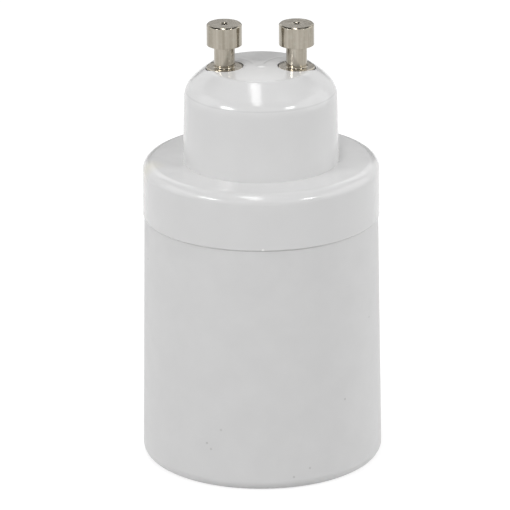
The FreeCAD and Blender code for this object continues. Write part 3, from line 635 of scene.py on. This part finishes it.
class Paint:
    """A material with one Principled shader, and helpers that take millimetres."""

    def __init__(self, name, **settings):
        self.material = bpy.data.materials.new(name)
        self.tree = new_tree(self.material)
        self.shader = self.add("BsdfPrincipled")
        out = self.add("OutputMaterial")
        self.link(self.shader.outputs[0], out.inputs["Surface"])
        for socket, value in settings.items():
            self.shader.inputs[socket].default_value = value
        self.place = self.add("TexCoord").outputs["Object"]

    def add(self, kind, **settings):
        node = self.tree.nodes.new("ShaderNode" + kind)
        for name, value in settings.items():
            setattr(node, name, value)
        return node

    def link(self, source, target):
        self.tree.links.new(source, target)

    def noise(self, size, detail, stretch=(1, 1, 1)):
        """Noise whose features measure about size, stretched along the axes."""
        spread = self.add("Mapping")
        spread.inputs["Scale"].default_value = [1 / (size * MM * s) for s in stretch]
        self.link(self.place, spread.inputs["Vector"])
        node = self.add("TexNoise")
        node.inputs["Scale"].default_value = 1.0
        node.inputs["Detail"].default_value = detail
        self.link(spread.outputs[0], node.inputs["Vector"])
        return node.outputs["Fac"]

    def ramp(self, value, low, high, limits=NOISE_RANGE):
        """Colours from low to high as value goes from one limit to the other."""
        node = self.add("ValToRGB")
        for element, limit, tint in zip(node.color_ramp.elements, limits, (low, high)):
            element.position = limit
            element.color = (*tint, 1.0)
        self.link(value, node.inputs[0])
        return node.outputs[0]

    def span(self, value, low, high, limits=NOISE_RANGE):
        """A number from low to high as value goes from one limit to the other."""
        node = self.add("MapRange")
        names = ("From Min", "From Max", "To Min", "To Max")
        for name, number in zip(names, (*limits, low, high)):
            node.inputs[name].default_value = number
        self.link(value, node.inputs["Value"])
        return node.outputs[0]

    def maths(self, operation, first, second):
        """One sum of two values or numbers."""
        node = self.add("Math", operation=operation)
        for socket, value in zip(node.inputs, (first, second)):
            if hasattr(value, "is_linked"):
                self.link(value, socket)
            else:
                socket.default_value = value
        return node.outputs[0]

    def mix(self, amount, under, over):
        """The colour of the node output under, going to the plain colour over with amount."""
        node = self.add("Mix", data_type="RGBA")
        self.link(amount, node.inputs[0])
        self.link(under, node.inputs[MIX_UNDER])
        node.inputs[MIX_OVER].default_value = (*over, 1.0)
        return node.outputs[MIX_RESULT]

    def distance(self, source, point):
        """How far a place is from a point, in metres."""
        gap = self.add("VectorMath", operation="DISTANCE")
        gap.inputs[1].default_value = [c * MM for c in point]
        self.link(source, gap.inputs[0])
        return gap.outputs["Value"]

    def along(self, axis):
        """The place on the adapter along X, Y or Z, in metres."""
        split = self.add("SeparateXYZ")
        self.link(self.place, split.inputs[0])
        return split.outputs[axis]

    def near(self, point, radius, edge, level):
        """level within radius of a point of the adapter, falling to 0 over edge."""
        limits = (radius * MM, radius * MM + edge * MM)
        return self.span(self.distance(self.place, point), level, 0.0, limits)

    def line(self, value, middle, width, level=1.0):
        """level where value is middle, falling to 0 over width on both sides."""
        off = self.maths("ABSOLUTE", self.maths("SUBTRACT", value, middle * MM), 0)
        return self.span(off, level, 0.0, (0.0, width * MM))

    def crown_ring(self, across, radius):
        """1 on a ring round an upright axis, only behind the pins and between them."""
        flat = self.add("VectorMath", operation="MULTIPLY")
        flat.inputs[1].default_value = (1, 1, 0)
        self.link(self.place, flat.inputs[0])
        round_axis = self.line(self.distance(flat.outputs[0], (across, 0, 0)), radius, RING_WIDTH)
        behind = self.span(self.along("Y"), 0.0, 1.0, (RING_START * MM, 2 * RING_START * MM))
        fade = math.copysign(RING_FADE, across) * MM
        inward = self.span(self.along("X"), 0.0, 1.0, (across * MM, across * MM - fade))
        return self.maths("MULTIPLY", round_axis, self.maths("MULTIPLY", behind, inward))

    def colour(self, source):
        self.link(source, self.shader.inputs["Base Color"])

    def roughness(self, source):
        self.link(source, self.shader.inputs["Roughness"])

    def bump(self, heights):
        """Bump from a list of (value, depth)."""
        normal = None
        for value, depth in heights:
            node = self.add("Bump")
            node.inputs["Strength"].default_value = 1.0
            node.inputs["Distance"].default_value = depth * MM
            self.link(value, node.inputs["Height"])
            if normal is not None:
                self.link(normal, node.inputs["Normal"])
            normal = node.outputs[0]
        self.link(normal, self.shader.inputs["Normal"])

    def waves(self, table):
        """Heights for bump from a table of noise sizes, details and depths."""
        return [(self.noise(size, detail), depth) for size, detail, depth in table]


def cap_plastic():
    """Glossy white moulding, with slow waviness, the marks of its mould, painted shade lines and painted
    highlights.
    """
    paint = Paint("cap_plastic", IOR=PLASTIC_IOR)
    white = paint.ramp(paint.noise(*CAP_CLOUDS), *CAP_WHITE)
    white = paint.mix(paint.near(*AGED_END), white, AGED_COLOUR)
    # The nick's near-white spot is a painted highlight
    white = paint.mix(paint.near(*SEAM_NICK_GLINT), white, NICK_GLINT_COLOUR)
    heights = paint.waves(CAP_WAVES)
    for across, radius, depth in CROWN_RINGS:
        groove_and_painted_shade = paint.crown_ring(across, radius)
        # The ring sinks the surface in the bump and darkens its colour: painted shade
        white = paint.mix(groove_and_painted_shade, white, PAINTED_SHADE_GREY)
        heights.append((groove_and_painted_shade, -depth))
    # A darker line painted round the dome's lower edge: painted shade
    white = paint.mix(paint.line(paint.along("Z"), *DOME_CREASE_SHADE), white, PAINTED_SHADE_GREY)
    gate_and_highlight = paint.near(*GATE_MARK_AND_HIGHLIGHT)
    heights.append((gate_and_highlight, GATE_HEIGHT))
    # The gate mark's near-white colour is a painted highlight
    paint.colour(paint.mix(gate_and_highlight, white, GATE_HIGHLIGHT_COLOUR))
    paint.roughness(paint.span(paint.noise(*CAP_GLOSS), *CAP_ROUGHNESS))
    paint.bump(heights)
    return paint.material


def sleeve_plastic():
    """Satin white moulding, finely mottled, with a few dark specks."""
    paint = Paint("sleeve_plastic", IOR=PLASTIC_IOR)
    white = paint.ramp(paint.noise(*SLEEVE_CLOUDS), *SLEEVE_WHITE)
    for x, y, z, level in SPECKS:
        speck = paint.near((x, y, z), SPECK_RADIUS, SPECK_EDGE, level)
        white = paint.mix(speck, white, SPECK_COLOUR)
    paint.colour(white)
    paint.roughness(paint.span(paint.noise(*SLEEVE_GLOSS), *SLEEVE_ROUGHNESS))
    paint.bump(paint.waves(SLEEVE_WAVES))
    return paint.material


def turned_nickel():
    """Nickel plate, streaked along the pin with uneven plating and painted reflection bands, over fine
    turning marks.
    """
    paint = Paint("pin_nickel", Metallic=1.0)
    # Upright light and dark bands in the colour: partly uneven plating, partly painted reflection
    plating_and_reflections = paint.ramp(paint.noise(*NICKEL_STREAKS_AND_REFLECTIONS), *NICKEL_COLOURS, NICKEL_RANGE)
    stains = paint.span(paint.noise(*NICKEL_STAINS), 0.0, STAIN_STRENGTH, STAIN_RANGE)
    paint.colour(paint.mix(stains, plating_and_reflections, STAIN_COLOUR))
    marks = paint.noise(*TURNING_MARKS)
    paint.roughness(paint.span(marks, *NICKEL_ROUGHNESS))
    paint.bump([(marks, METAL_GRAIN_DEPTH)])
    return paint.material


def woven_sleeving():
    """Cream insulating sleeving with a fine braid."""
    paint = Paint("sleeving", Roughness=SLEEVING_ROUGHNESS)
    braid = paint.noise(*SLEEVING_BRAID)
    paint.colour(paint.ramp(braid, *SLEEVING_COLOURS))
    paint.bump([(braid, SLEEVING_DEPTH)])
    return paint.material


def sheet_metal(name, low, high, rough, grain):
    """Rolled, folded or turned metal with a fine grain and soft stains."""
    paint = Paint(name, Metallic=1.0)
    paint.colour(paint.ramp(paint.noise(*METAL_STAINS), low, high))
    fine = paint.noise(grain, METAL_GRAIN_DETAIL)
    paint.roughness(paint.span(fine, rough - SMOOTHER, rough + ROUGHER))
    paint.bump([(fine, METAL_GRAIN_DEPTH)])
    return paint.material


def dress_nodes():
    """Give every CAD solid its material, by the record's slot."""
    made = {
        "cap_plastic": cap_plastic(),
        "sleeve_plastic": sleeve_plastic(),
        "pin_nickel": turned_nickel(),
        "sleeving": woven_sleeving(),
    }
    for slot, look in METALS.items():
        made[slot] = sheet_metal(slot, *look)
    for part in frame["record"]["subparts"]:
        mesh = NODES[part["node"]].data
        mesh.materials.clear()
        mesh.materials.append(made[part["material_slot"]])
    return made


add_camera()
set_world()
add_softboxes()
add_floor()
add_cards()
materials = dress_nodes()
made_pieces = (
    (add_screw_shell(), "shell_metal"),
    (add_leaf(), "spring_bronze"),
    (add_pin("left"), "pin_nickel"),
    (add_pin("right"), "pin_nickel"),
)
for piece, slot in made_pieces:
    piece.data.materials.append(materials[slot])
SCENE.view_settings.view_transform = "Standard"
